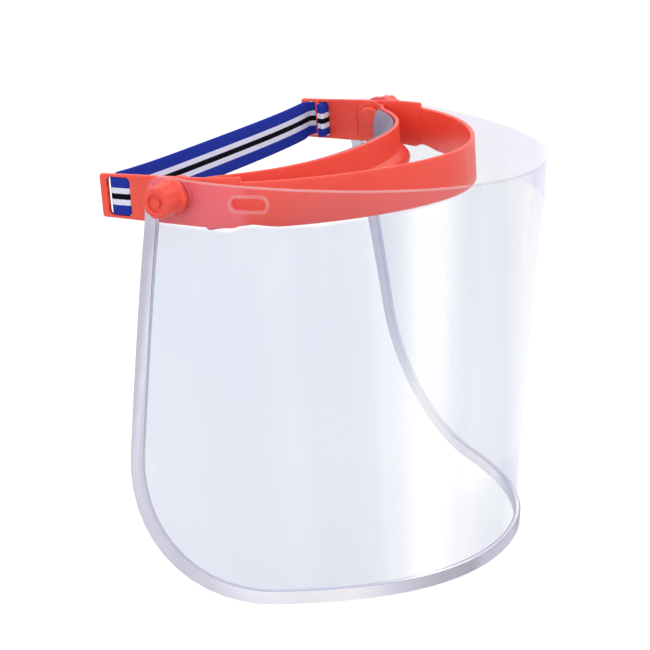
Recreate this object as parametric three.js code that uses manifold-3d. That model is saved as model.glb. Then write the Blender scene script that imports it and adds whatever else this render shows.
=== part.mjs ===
// Face shield: a clear flip-up visor on a moulded hoop, with a padded brow band and an elastic head strap.
// Millimetres, +Z up. The wearer faces -Y, and the wearer's left is +X.
// The origin lies midway between the two visor pivots, whose common axis is the X axis.

import * as THREE from 'three';
import { mergeVertices } from 'three/addons/utils/BufferGeometryUtils.js';
import Module from 'manifold-3d';

// Clearance between neighbouring pieces
const GAP = 0.3;

// Hoop with its two temple plates, one moulding
const PLATE_HALF_SPAN = 95;
const HOOP_DEPTH = 101;
const BAND_WALL = 2.2;
const BAND_CHAMFER = 0.5;
const BAND_DROP = 3.2;
const PLATE_REAR = 45.5;
const PLATE_REAR_CORNER = 0.8;
const PLATE_FLARE = 1.5;
const STEP_FORWARD = 32;
const STEP_DROP = 2.5;
const STEP_RUN = 0.5;
const NOTCH_RISE = 1.9;
const NOTCH_RISE_RUN = 5;
const NOTCH_FALL_RUN = 15;
const HOOP_SIDE_HANDLE = 41.5;
const HOOP_FRONT_HANDLE = 42;

// Strap windows in the temple plates
const STRAP_WIDTH = 18.5;
const STRAP_THICKNESS = 1.5;
const WINDOW_MARGIN = 1.2;
const WINDOW_CORNER = 2.4;
const REAR_STRIP = 3.7;
const REAR_SLOT = 6;
const STRAP_BAR = 2.4;
const STRAP_BAR_THICKNESS = 1.8;
const FRONT_SLOT = 5.4;
const HEM_LENGTH = 7;
const HEM_CORNER = 1.4;

// Locating rib on the inner face of each temple plate
const RIB_WIDTH = 0.8;
const RIB_HEIGHT = 0.6;
const RIB_MARGIN = 2.2;
const RIB_BEHIND_TAB = 1.5;

// Brow band with its two pivot tabs and its rounded forward bead
const BROW_WALL = 2;
const TAB_RADIUS = 8.5;
const TAB_FLAT = 5.3;
const BROW_DEPTH = 49.3;
const BROW_TOP = 6.8;
const BROW_BOTTOM = 18.7;
const BROW_FRONT_HANDLE = 66;
const BROW_CORNER_IN = 4.3;
const BROW_CORNER_FORWARD = 4.7;
const BROW_CORNER_SETBACK = 3.3;
const BEAD_HEIGHT = 12;
const BEAD_PROUD = 5;
const BEAD_FULL_HALF_WIDTH = 58;
const BEAD_END_HALF_WIDTH = 78;

// Foam brow pad
const PAD_THICKNESS = 5;
const PAD_EDGE_THICKNESS = 3.4;
const PAD_HALF_SPAN = 86.5;
const PAD_TOP_MARGIN = 1;
const PAD_BOTTOM_MARGIN = 1.5;
const PAD_END_RUN = 4;

// Visor sheet: its flat size, then how it is bent
const SHEET_WIDTH = 406.4;
const SHEET_HEIGHT = 203.2;
const SHEET_THICKNESS = 1;
const SHEET_CORNER = 72.5;
const SHEET_TOP_CORNER = 9;
const PIVOT_INSET = 15.9;
const PIVOT_BELOW_TOP = 8.7;
const FLANK_EASE = 1.2;
const FLANK_HANDLE = 42.4;
const FRONT_HANDLE = 63.5;
const HEM_FLARE = 43.3;
const HEM_SETBACK = 14.4;
const HEM_REAR = 5;
const HEM_SIDE_HANDLE = 45;
const HEM_SIDE_TURN = 53.9;
const HEM_FRONT_HANDLE = 83.4;
const FLARE_EASE = 12;
const FRONT_FLARE_POWER = 0.73;
const REAR_FLARE_POWER = 0.83;
const VISOR_TILT = 4;
const SLOT_AHEAD = 39;
const SLOT_LENGTH = 17.3;
const SLOT_HEIGHT = 5.8;

// Metal binding round the sheet's rear and lower edges
const BINDING_WALL = 0.8;
const BINDING_REACH = 5.5;
const BINDING_START = 14;
const BINDING_BEND = 0.4;

// Pivot hardware, from the head outwards
const BOLT_HEAD_RADIUS = 5.6;
const BOLT_HEAD_HEIGHT = 2;
const BOLT_SHOULDER_RADIUS = 4.6;
const BOLT_NECK_SIDE = 6.2;
const BOLT_RADIUS = 2.8;
const BOLT_TIP = 0.8;
const FRICTION_WASHER_RADIUS = 8;
const FRICTION_WASHER_THICKNESS = 1.6;
const CLAMP_WASHER_RADIUS = 7.5;
const CLAMP_WASHER_THICKNESS = 1.2;
const SPRING_OUTER_RADIUS = 6.2;
const SPRING_STRIP = 0.5;
const SPRING_WAVE = 0.35;
const SPRING_WAVES = 3;
const INSERT_RADIUS = 4;
const INSERT_LENGTH = 8;
const INSERT_KNURLS = 16;
const INSERT_KNURL_DEPTH = 0.25;

// Knobs
const KNOB_LENGTH = 13.6;
const KNOB_RADIUS = 7.9;
const KNOB_EDGE = 1.2;
const KNOB_FLUTES = 10;
const KNOB_FLUTE_DEPTH = 0.55;
const SKIRT_RADIUS = 9.2;
const SKIRT_HEIGHT = 3.2;
const SKIRT_LOBES = 6;
const SKIRT_LOBE_DEPTH = 0.5;
const FACE_RING_RADIUS = 4.4;
const FACE_BOSS_RADIUS = 2.2;
const FACE_RING_DEPTH = 1.1;

// Facets
const TURNED_SEGMENTS = 32;
const KNOB_SEGMENTS = 60;
const HOOP_STATIONS = 34;
const BROW_STATIONS = 26;
const PAD_STATIONS = 44;
const SHEET_COLUMNS = 36;
const SHEET_CORNER_COLUMNS = 13;
const CURVE_DIVISIONS = 400;

const wasm = await Module();
wasm.setup();

// Closed solids and boolean work

function signedVolume(position, index) {
  const a = new THREE.Vector3();
  const b = new THREE.Vector3();
  const c = new THREE.Vector3();
  let volume = 0;
  for (let i = 0; i < index.length; i += 3) {
    a.fromArray(position, 3 * index[i]);
    b.fromArray(position, 3 * index[i + 1]);
    c.fromArray(position, 3 * index[i + 2]);
    volume += a.dot(b.cross(c));
  }
  return volume / 6;
}

// Faces point outwards whichever way the corners were listed
function closedGeometry(position, index) {
  if (signedVolume(position, index) < 0) {
    index.reverse();
  }
  const geometry = new THREE.BufferGeometry();
  geometry.setAttribute('position', new THREE.Float32BufferAttribute(position, 3));
  geometry.setIndex(index);
  return geometry;
}

// sections: 2-D outlines with the same number of points; place(point, k) puts a point of section k in space
function loft(sections, place) {
  const count = sections[0].length;
  const position = [];
  sections.forEach((section, k) => section.forEach((point) => position.push(...place(point, k).toArray())));
  const index = [];
  for (let k = 0; k < sections.length - 1; k += 1) {
    for (let i = 0; i < count; i += 1) {
      const next = (i + 1) % count;
      const a = k * count + i;
      const b = k * count + next;
      const c = a + count;
      const d = b + count;
      index.push(a, b, d, a, d, c);
    }
  }
  const last = (sections.length - 1) * count;
  const startCap = THREE.ShapeUtils.triangulateShape(sections[0], []);
  const endCap = THREE.ShapeUtils.triangulateShape(sections.at(-1), []);
  const forwards = THREE.ShapeUtils.isClockWise(sections[0]) ? 1 : -1;
  for (const [a, b, c] of startCap) {
    index.push(...(forwards > 0 ? [a, b, c] : [a, c, b]));
  }
  for (const [a, b, c] of endCap) {
    index.push(...(forwards > 0 ? [last + a, last + c, last + b] : [last + a, last + b, last + c]));
  }
  return closedGeometry(position, index);
}

function toSolid(geometry) {
  const bare = geometry.clone();
  bare.deleteAttribute('normal');
  bare.deleteAttribute('uv');
  const merged = mergeVertices(bare, 1e-4);
  return new wasm.Manifold(new wasm.Mesh({
    numProp: 3,
    vertProperties: new Float32Array(merged.attributes.position.array),
    triVerts: new Uint32Array(merged.index.array),
  }));
}

function fromSolid(solid) {
  const mesh = solid.getMesh();
  const geometry = new THREE.BufferGeometry();
  geometry.setAttribute('position', new THREE.BufferAttribute(new Float32Array(mesh.vertProperties), 3));
  geometry.setIndex(new THREE.BufferAttribute(new Uint32Array(mesh.triVerts), 1));
  return geometry;
}

function join(geometry, ...others) {
  return fromSolid(others.reduce((solid, other) => solid.add(toSolid(other)), toSolid(geometry)));
}

function cut(geometry, ...tools) {
  return fromSolid(tools.reduce((solid, tool) => solid.subtract(toSolid(tool)), toSolid(geometry)));
}

function trim(geometry, keep) {
  return fromSolid(toSolid(geometry).intersect(toSolid(keep)));
}

// The same solid on the other side of the centre plane
function mirrored(geometry) {
  const indexed = mergeVertices(geometry.clone().deleteAttribute('normal').deleteAttribute('uv'), 1e-4);
  const flip = (value, i) => (i % 3 === 0 ? -value : value);
  const position = Array.from(indexed.attributes.position.array, flip);
  return closedGeometry(position, Array.from(indexed.index.array));
}

// A solid of revolution about the X axis; profile rows are [x along the axis, radius]
function turned(profile) {
  const points = profile.map(([x, radius]) => new THREE.Vector2(radius, x));
  return new THREE.LatheGeometry(points, TURNED_SEGMENTS).rotateZ(-Math.PI / 2);
}

function disc(x0, x1, radius) {
  return turned([[x0, 0], [x0, radius], [x1, radius], [x1, 0]]);
}

function washer(x0, x1, outer, inner) {
  return turned([[x0, inner], [x0, outer], [x1, outer], [x1, inner], [x0, inner]]);
}

function box(x0, x1, y0, y1, z0, z1) {
  const block = new THREE.BoxGeometry(x1 - x0, y1 - y0, z1 - z0);
  return block.translate((x0 + x1) / 2, (y0 + y1) / 2, (z0 + z1) / 2);
}

// A shape drawn in the YZ plane, made thick along X
function sideways(shape, x0, x1, curveSegments) {
  const panel = new THREE.ExtrudeGeometry(shape, { depth: x1 - x0, bevelEnabled: false, curveSegments });
  return panel.rotateX(Math.PI / 2).rotateZ(Math.PI / 2).translate(x0, 0, 0);
}

function roundedPanel(x0, x1, y0, y1, z0, z1, radius) {
  const shape = new THREE.Shape();
  shape.moveTo(y0 + radius, z0);
  shape.absarc(y1 - radius, z0 + radius, radius, -Math.PI / 2, 0);
  shape.absarc(y1 - radius, z1 - radius, radius, 0, Math.PI / 2);
  shape.absarc(y0 + radius, z1 - radius, radius, Math.PI / 2, Math.PI);
  shape.absarc(y0 + radius, z0 + radius, radius, Math.PI, 1.5 * Math.PI);
  return sideways(shape, x0, x1, 5);
}

function smoothstep(from, to, value) {
  return THREE.MathUtils.smoothstep(value, Math.min(from, to), Math.max(from, to));
}

// A strip of moulding that follows a plan curve: stations hold point, outward normal and heights
function follow(stations, sectionAt) {
  const sections = stations.map((station, k) => sectionAt(station, k));
  return loft(sections, (p, k) => {
    const { point, normal } = stations[k];
    return new THREE.Vector3(point.x + normal.x * p.x, point.y + normal.y * p.x, p.y);
  });
}

// Plan curves run from the wearer's left side to the front; this mirrors them into a full run of stations
function bothSides(leftStations) {
  const right = leftStations.slice(0, -1).reverse().map(({ point, normal }) => ({
    point: new THREE.Vector2(-point.x, point.y),
    normal: new THREE.Vector2(-normal.x, normal.y),
  }));
  return [...leftStations, ...right];
}

function station(curve, t) {
  const point = curve.getPoint(t);
  const tangent = curve.getTangent(t);
  return { point, normal: new THREE.Vector2(-tangent.y, tangent.x) };
}

function cubic(...points) {
  const curve = new THREE.CubicBezierCurve(...points.map(([x, y]) => new THREE.Vector2(x, y)));
  curve.arcLengthDivisions = CURVE_DIVISIONS;
  return curve;
}

// Places along the pivot axis, from the hoop's plates inwards and outwards

const plateOuter = PLATE_HALF_SPAN;
const plateInner = plateOuter - BAND_WALL;
const tabOuter = plateInner - GAP;
const tabInner = tabOuter - BROW_WALL;
const boltHeadOuter = tabInner - GAP;
const boltHeadInner = boltHeadOuter - BOLT_HEAD_HEIGHT;
const frictionInner = plateOuter + GAP;
const frictionOuter = frictionInner + FRICTION_WASHER_THICKNESS;
const sheetInner = frictionOuter + GAP;
const sheetMiddle = sheetInner + SHEET_THICKNESS / 2;
const sheetOuter = sheetInner + SHEET_THICKNESS;
const clampInner = sheetOuter + GAP;
const clampOuter = clampInner + CLAMP_WASHER_THICKNESS;
const knobBase = clampOuter + GAP;
const knobTop = knobBase + KNOB_LENGTH;
const springHeight = SPRING_STRIP + 2 * SPRING_WAVE;
const springBase = knobBase;
const springSeat = springBase + springHeight + GAP;
const insertBase = springSeat;
const insertTop = insertBase + INSERT_LENGTH;
const boltEnd = insertTop - BOLT_TIP;
const boltHole = BOLT_RADIUS + GAP;

// Temple plates and hoop

const windowHalfHeight = STRAP_WIDTH / 2 + GAP;
const plateRearHalfHeight = windowHalfHeight + WINDOW_MARGIN;
const plateFrontHalfHeight = plateRearHalfHeight + PLATE_FLARE;
const hoopTop = plateFrontHalfHeight - STEP_DROP - BAND_DROP;
const rearSlotRear = PLATE_REAR - REAR_STRIP;
const barRear = rearSlotRear - REAR_SLOT;
const barFront = barRear - STRAP_BAR;
const frontSlotFront = barFront - FRONT_SLOT;
const strapOuter = plateOuter;
const strapSeat = strapOuter - STRAP_THICKNESS;
const barOuter = strapSeat - GAP;

function plateHalfHeight(y) {
  const forward = (PLATE_REAR - y) / (PLATE_REAR + STEP_FORWARD);
  const fromRear = Math.max(PLATE_REAR_CORNER - (PLATE_REAR - y), 0);
  const cornerLoss = PLATE_REAR_CORNER - Math.sqrt(PLATE_REAR_CORNER ** 2 - fromRear ** 2);
  return plateRearHalfHeight + PLATE_FLARE * Math.min(forward, 1) - cornerLoss;
}

function hoopTopAt(y) {
  const beforeStep = plateHalfHeight(y) - BAND_DROP;
  const past = smoothstep(-STEP_FORWARD, -STEP_FORWARD - STEP_RUN, y);
  return y > -STEP_FORWARD ? beforeStep : THREE.MathUtils.lerp(hoopTop, beforeStep, past);
}

function hoopBottomAt(y) {
  const peak = -STEP_FORWARD - 1;
  const rising = 1 - smoothstep(peak, peak + NOTCH_RISE_RUN, y);
  const falling = smoothstep(peak, peak - NOTCH_FALL_RUN, y);
  const notch = y > peak ? rising : falling;
  return -plateHalfHeight(y) - BAND_DROP + NOTCH_RISE * notch;
}

function bandSection(wall, bottom, top) {
  const c = BAND_CHAMFER;
  return [
    [-c, bottom], [0, bottom + c], [0, top - c], [-c, top],
    [c - wall, top], [-wall, top - c], [-wall, bottom + c], [c - wall, bottom],
  ].map(([x, z]) => new THREE.Vector2(x, z));
}

function outerBand() {
  const flatEnd = -TAB_RADIUS - GAP;
  const hoop = cubic(
    [plateOuter, flatEnd], [plateOuter, flatEnd - HOOP_SIDE_HANDLE],
    [HOOP_FRONT_HANDLE, -HOOP_DEPTH], [0, -HOOP_DEPTH],
  );
  const outward = new THREE.Vector2(1, 0);
  const left = [];
  for (const share of [0.08, 0.3, 0.6, 1]) {
    const angle = share * Math.PI / 2;
    const y = PLATE_REAR - PLATE_REAR_CORNER * (1 - Math.cos(angle));
    left.push({ point: new THREE.Vector2(plateOuter, y), normal: outward });
  }
  left[0].point.y = PLATE_REAR;
  let lower = 0;
  let upper = 0.5;
  for (let i = 0; i < 40; i += 1) {
    const middle = (lower + upper) / 2;
    [lower, upper] = hoop.getPoint(middle).y > -STEP_FORWARD ? [middle, upper] : [lower, middle];
  }
  const stepTurn = STEP_RUN / hoop.getLength();
  const turns = Array.from({ length: HOOP_STATIONS + 1 }, (_, i) => i / HOOP_STATIONS);
  const clear = turns.filter((t) => Math.abs(t - lower) > 2 * stepTurn);
  for (const t of [...clear, lower, lower + stepTurn].sort((a, b) => a - b)) {
    left.push(station(hoop, t));
  }
  const stations = bothSides(left);
  const sectionAt = ({ point: { y } }) => bandSection(BAND_WALL, hoopBottomAt(y), hoopTopAt(y));
  let band = follow(stations, sectionAt);
  const ribRear = TAB_RADIUS + RIB_BEHIND_TAB + RIB_WIDTH;
  const ribs = [];
  const bars = [];
  const tools = [];
  for (const place of [(geometry) => geometry, mirrored]) {
    const low = -windowHalfHeight - BAND_DROP;
    const high = windowHalfHeight - BAND_DROP;
    const ribHalf = plateRearHalfHeight - RIB_MARGIN;
    ribs.push(place(box(plateInner - RIB_HEIGHT, plateInner + BAND_CHAMFER,
      ribRear - RIB_WIDTH, ribRear, -ribHalf - BAND_DROP, ribHalf - BAND_DROP)));
    const barEnd = 0.8 * WINDOW_MARGIN;
    bars.push(place(box(barOuter - STRAP_BAR_THICKNESS, barOuter, barFront, barRear,
      low - barEnd, high + barEnd)));
    tools.push(place(roundedPanel(plateInner - 1, plateOuter + 1, frontSlotFront, rearSlotRear, low, high,
      WINDOW_CORNER)));
    const neckHalf = BOLT_NECK_SIDE / 2 + GAP;
    tools.push(place(box(plateInner - 1, plateOuter + 1, -neckHalf, neckHalf, -neckHalf, neckHalf)));
  }
  band = cut(join(band, ...ribs), ...tools);
  return join(band, ...bars);
}

// Brow band: a flat run at the tab, a tight corner and the long curve round the brow

function browCurves() {
  const cornerX = tabOuter - BROW_CORNER_IN;
  const cornerY = -TAB_FLAT - BROW_CORNER_FORWARD;
  const control = new THREE.Vector2(tabOuter, -TAB_FLAT - BROW_CORNER_SETBACK);
  const corner = new THREE.QuadraticBezierCurve(
    new THREE.Vector2(tabOuter, -TAB_FLAT), control, new THREE.Vector2(cornerX, cornerY),
  );
  const leave = new THREE.Vector2(cornerX, cornerY).sub(control).normalize().multiplyScalar(BROW_DEPTH / 4);
  const brow = cubic(
    [cornerX, cornerY], [cornerX + leave.x, cornerY + leave.y],
    [BROW_FRONT_HANDLE, -BROW_DEPTH], [0, -BROW_DEPTH],
  );
  return { corner, brow };
}

function beadAt(x) {
  return BEAD_PROUD * (1 - smoothstep(BEAD_FULL_HALF_WIDTH, BEAD_END_HALF_WIDTH, Math.abs(x)));
}

function browBand() {
  const { corner, brow } = browCurves();
  const outward = new THREE.Vector2(1, 0);
  const left = [{ point: new THREE.Vector2(tabOuter, 0), normal: outward }];
  for (let i = 0; i <= 4; i += 1) {
    left.push(station(corner, i / 4));
  }
  for (let i = 1; i <= BROW_STATIONS; i += 1) {
    left.push(station(brow, i / BROW_STATIONS));
  }
  const beadTop = BEAD_HEIGHT - BROW_BOTTOM;
  const band = follow(bothSides(left), ({ point }) => {
    const fromTab = 1 - smoothstep(PAD_HALF_SPAN, tabOuter, Math.abs(point.x));
    const bottom = -THREE.MathUtils.lerp(TAB_RADIUS - BAND_CHAMFER, BROW_BOTTOM, fromTab);
    const proud = beadAt(point.x);
    const outer = [];
    const inner = [];
    for (let i = 0; i <= 6; i += 1) {
      const z = THREE.MathUtils.lerp(bottom, Math.max(beadTop, bottom + 1), i / 6);
      const swell = proud * Math.sin(Math.PI * i / 6) ** 0.8;
      outer.push(new THREE.Vector2(swell, z));
      inner.push(new THREE.Vector2(swell * (BEAD_PROUD - BROW_WALL / 2) / BEAD_PROUD - BROW_WALL, z));
    }
    const c = BAND_CHAMFER;
    const rim = [[0, BROW_TOP - c], [-c, BROW_TOP], [c - BROW_WALL, BROW_TOP], [-BROW_WALL, BROW_TOP - c]];
    return [...outer, ...rim.map(([x, z]) => new THREE.Vector2(x, z)), ...inner.reverse()];
  });
  const tab = disc(tabInner, tabOuter, TAB_RADIUS);
  const hole = disc(tabInner - 1, tabOuter + 1, BOLT_SHOULDER_RADIUS + GAP);
  return cut(join(band, tab, mirrored(tab)), hole, mirrored(hole));
}

// Foam pad: crowned towards the forehead, its edges and ends drawn in

function browPad() {
  const { brow } = browCurves();
  let start = 0;
  while (brow.getPoint(start).x > PAD_HALF_SPAN) {
    start += 1 / CURVE_DIVISIONS;
  }
  const half = PAD_STATIONS / 2;
  const left = Array.from({ length: half + 1 }, (_, i) => {
    const eased = 1 - (1 - i / half) ** 1.6;
    return station(brow, THREE.MathUtils.lerp(start, 1, i === 0 ? 0 : eased));
  });
  const stations = bothSides(left);
  const span = brow.getPoint(start);
  const back = BROW_WALL + GAP;
  const low = PAD_BOTTOM_MARGIN - BROW_BOTTOM;
  const high = BROW_TOP - PAD_TOP_MARGIN;
  return follow(stations, ({ point }) => {
    const fromEnd = Math.min(span.distanceTo(new THREE.Vector2(Math.abs(point.x), point.y)) / PAD_END_RUN, 1);
    const full = Math.sqrt(1 - (1 - fromEnd) ** 2);
    const thick = THREE.MathUtils.lerp(PAD_EDGE_THICKNESS / 2, PAD_THICKNESS, full);
    const edge = THREE.MathUtils.lerp(PAD_EDGE_THICKNESS / 3, PAD_EDGE_THICKNESS, full);
    const drawIn = 2.5 * (1 - full);
    const points = [[-back, low + drawIn + 0.6], [-back, high - drawIn - 0.6]];
    for (let i = 0; i <= 8; i += 1) {
      const across = i / 8;
      const crown = Math.sin(Math.PI * across) ** 0.6;
      const z = THREE.MathUtils.lerp(high - drawIn, low + drawIn, across);
      points.push([-back - edge / 2 - (thick - edge / 2) * crown, z]);
    }
    return points.map(([x, z]) => new THREE.Vector2(x, z));
  });
}

// Visor sheet. u runs along the flat sheet from its middle, v down from its top edge.

const sheetHalf = SHEET_WIDTH / 2;
const flankFront = -(FRICTION_WASHER_RADIUS + FLANK_EASE);

function topCurve(depth) {
  return cubic(
    [0, -depth], [FRONT_HANDLE, -depth],
    [sheetMiddle, flankFront - FLANK_HANDLE], [sheetMiddle, flankFront],
  );
}

// The sheet's length and its pivot holes settle how far it stands in front
function visorDepth() {
  const wanted = sheetHalf - PIVOT_INSET + flankFront;
  let shallow = FLANK_HANDLE;
  let deep = SHEET_WIDTH;
  for (let i = 0; i < 40; i += 1) {
    const middle = (shallow + deep) / 2;
    [shallow, deep] = topCurve(middle).getLength() < wanted ? [middle, deep] : [shallow, middle];
  }
  return shallow;
}

const frontDepth = visorDepth();
const hemDepth = frontDepth - HEM_SETBACK;
const sheetFlat = PIVOT_BELOW_TOP + SKIRT_RADIUS + GAP;
const hemHalfWidth = sheetMiddle + HEM_FLARE;
const top = topCurve(frontDepth);
const hem = cubic(
  [0, -hemDepth], [HEM_FRONT_HANDLE, -hemDepth],
  [hemHalfWidth - HEM_SIDE_HANDLE * Math.cos(THREE.MathUtils.degToRad(HEM_SIDE_TURN)),
    HEM_REAR - HEM_SIDE_HANDLE * Math.sin(THREE.MathUtils.degToRad(HEM_SIDE_TURN))],
  [hemHalfWidth, HEM_REAR],
);

// A point at arc length u on a plan curve, which runs on straight past its end
function along(curve, u) {
  const length = curve.getLength();
  const point = curve.getPointAt(Math.min(u / length, 1));
  const beyond = Math.max(u - length, 0);
  return point.addScaledVector(curve.getTangentAt(1), beyond);
}

function flareAt(u, v) {
  const past = Math.max(v - sheetFlat, 0);
  const ramp = past < FLARE_EASE ? past * past / (2 * FLARE_EASE) : past - FLARE_EASE / 2;
  const power = THREE.MathUtils.lerp(FRONT_FLARE_POWER, REAR_FLARE_POWER, (u / sheetHalf) ** 2);
  return (ramp / (SHEET_HEIGHT - sheetFlat - FLARE_EASE / 2)) ** power;
}

function surfacePoint(u, v) {
  const plan = along(top, Math.abs(u)).lerp(along(hem, Math.abs(u)), flareAt(u, v));
  const point = new THREE.Vector3(plan.x * Math.sign(u), plan.y, PIVOT_BELOW_TOP - v);
  return point.applyAxisAngle(new THREE.Vector3(1, 0, 0), THREE.MathUtils.degToRad(VISOR_TILT));
}

function surfaceNormal(u, v) {
  const step = 0.5;
  const across = surfacePoint(u + step, v).sub(surfacePoint(u - step, v));
  const down = surfacePoint(u, v + step).sub(surfacePoint(u, v - step));
  return across.cross(down).normalize().negate();
}

// Columns and rows of the sheet's facets, which the binding's stations share
const hemStraight = sheetHalf - SHEET_CORNER;
const rearStraight = SHEET_HEIGHT - SHEET_CORNER;

function cornerTurns() {
  return Array.from({ length: SHEET_CORNER_COLUMNS }, (_, i) => {
    const angle = Math.PI / 2 * i / SHEET_CORNER_COLUMNS;
    return [Math.cos(angle), Math.sin(angle)];
  });
}

function hemColumns() {
  return Array.from({ length: SHEET_COLUMNS + 1 }, (_, i) => hemStraight * (1 - 2 * i / SHEET_COLUMNS));
}

function sheetColumns() {
  const corner = cornerTurns().map(([c, s]) => [
    hemStraight + SHEET_CORNER * c, rearStraight + SHEET_CORNER * s,
  ]);
  const other = corner.slice().reverse().map(([u, vEnd]) => [-u, vEnd]);
  return [...corner, ...hemColumns().map((u) => [u, SHEET_HEIGHT]), ...other];
}

// Rows are close together where the flare starts, then spread evenly down to the edge
function sheetRows(vEnd) {
  const eased = [0, 0.25, 0.5, 0.85, 1.3, 1.9, 2.6, 3.5].map((share) => sheetFlat + share * FLARE_EASE);
  const start = eased.at(-1);
  const lower = [0.2, 0.4, 0.6, 0.8, 1].map((share) => THREE.MathUtils.lerp(start, vEnd, share));
  return [0, sheetFlat / 2, ...eased, ...lower];
}

function visorSheet() {
  const columns = sheetColumns();
  const rowCount = sheetRows(SHEET_HEIGHT).length;
  const position = [];
  for (const face of [0.5, -0.5]) {
    for (const [u, vEnd] of columns) {
      for (const v of sheetRows(vEnd)) {
        const point = surfacePoint(u, v).addScaledVector(surfaceNormal(u, v), face * SHEET_THICKNESS);
        position.push(...point.toArray());
      }
    }
  }
  const layer = columns.length * rowCount;
  const at = (i, j, face) => face * layer + i * rowCount + j;
  const index = [];
  const quad = (a, b, c, d) => index.push(a, b, c, a, c, d);
  const lastColumn = columns.length - 1;
  const lastRow = rowCount - 1;
  for (let i = 0; i < lastColumn; i += 1) {
    for (let j = 0; j < lastRow; j += 1) {
      quad(at(i, j, 0), at(i + 1, j, 0), at(i + 1, j + 1, 0), at(i, j + 1, 0));
      quad(at(i, j, 1), at(i, j + 1, 1), at(i + 1, j + 1, 1), at(i + 1, j, 1));
    }
  }
  const rim = [];
  for (let i = 0; i < lastColumn; i += 1) {
    rim.push([i, 0]);
  }
  for (let j = 0; j < lastRow; j += 1) {
    rim.push([lastColumn, j]);
  }
  for (let i = lastColumn; i > 0; i -= 1) {
    rim.push([i, lastRow]);
  }
  for (let j = lastRow; j > 0; j -= 1) {
    rim.push([0, j]);
  }
  rim.forEach(([i, j], k) => {
    const [iNext, jNext] = rim[(k + 1) % rim.length];
    quad(at(i, j, 0), at(i, j, 1), at(iNext, jNext, 1), at(iNext, jNext, 0));
  });
  const hole = disc(sheetInner - 1, sheetOuter + 1, boltHole);
  const slot = slotTool();
  const corner = topCornerTool();
  const tools = [hole, slot, corner].flatMap((tool) => [tool, mirrored(tool)]);
  return cut(closedGeometry(position, index), ...tools);
}

// What lies outside the round rear corner at the sheet's top
function topCornerTool() {
  const margin = 2 * SHEET_THICKNESS;
  const y = PIVOT_INSET - SHEET_TOP_CORNER;
  const z = PIVOT_BELOW_TOP - SHEET_TOP_CORNER;
  const shape = new THREE.Shape();
  shape.moveTo(PIVOT_INSET + margin, PIVOT_BELOW_TOP + margin);
  shape.lineTo(y, PIVOT_BELOW_TOP + margin);
  shape.absarc(y, z, SHEET_TOP_CORNER, Math.PI / 2, 0, true);
  shape.lineTo(PIVOT_INSET + margin, z);
  return sideways(shape, sheetInner - 1, sheetOuter + 1, 8).rotateX(THREE.MathUtils.degToRad(VISOR_TILT));
}

// Oblong slot ahead of the pivot hole and level with it, square to the sheet
function slotTool() {
  const u = sheetHalf - PIVOT_INSET - SLOT_AHEAD;
  const v = PIVOT_BELOW_TOP;
  const radius = SLOT_HEIGHT / 2;
  const reach = SLOT_LENGTH / 2 - radius;
  const shape = new THREE.Shape();
  shape.moveTo(-reach, -radius);
  shape.absarc(reach, 0, radius, -Math.PI / 2, Math.PI / 2);
  shape.absarc(-reach, 0, radius, Math.PI / 2, 1.5 * Math.PI);
  const depth = 8 * SHEET_THICKNESS;
  const tool = new THREE.ExtrudeGeometry(shape, { depth, bevelEnabled: false, curveSegments: 6 });
  const normal = surfaceNormal(u, v);
  const across = surfacePoint(u + 1, v).sub(surfacePoint(u - 1, v)).normalize();
  const up = normal.clone().cross(across);
  const turn = new THREE.Matrix4().makeBasis(across, up, normal);
  return tool.translate(0, 0, -depth / 2).applyMatrix4(turn.setPosition(surfacePoint(u, v)));
}

// Binding: a U channel folded over the rear edges, the lower corners and the hem in one run

function edgeBinding() {
  const rows = [BINDING_START, ...sheetRows(rearStraight).slice(0, -1).filter((v) => v > BINDING_START)];
  const left = rows.map((v) => ({ u: sheetHalf, v, inU: -1, inV: 0 }));
  for (const [c, s] of cornerTurns()) {
    left.push({ u: hemStraight + SHEET_CORNER * c, v: rearStraight + SHEET_CORNER * s, inU: -c, inV: -s });
  }
  const hemRun = hemColumns().map((u) => ({ u, v: SHEET_HEIGHT, inU: 0, inV: -1 }));
  const right = left.slice().reverse().map(({ u, v, inU, inV }) => ({ u: -u, v, inU: -inU, inV }));
  const path = [...left, ...hemRun, ...right];
  const inside = SHEET_THICKNESS / 2 + GAP;
  const outside = inside + BINDING_WALL;
  const back = -GAP - BINDING_WALL;
  const section = [
    [BINDING_REACH, inside], [-GAP, inside], [-GAP, -inside], [BINDING_REACH, -inside],
    [BINDING_REACH, -outside], [back + BINDING_BEND, -outside], [back, BINDING_BEND - outside],
    [back, outside - BINDING_BEND], [back + BINDING_BEND, outside], [BINDING_REACH, outside],
  ].map(([a, b]) => new THREE.Vector2(a, b));
  return loft(path.map(() => section), (p, k) => {
    const { u, v, inU, inV } = path[k];
    const atU = u + p.x * inU;
    const atV = v + p.x * inV;
    return surfacePoint(atU, atV).addScaledVector(surfaceNormal(atU, atV), p.y);
  });
}

// Elastic strap: out at the rear of each window, flush over the bar, and back in to a folded hem

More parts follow.
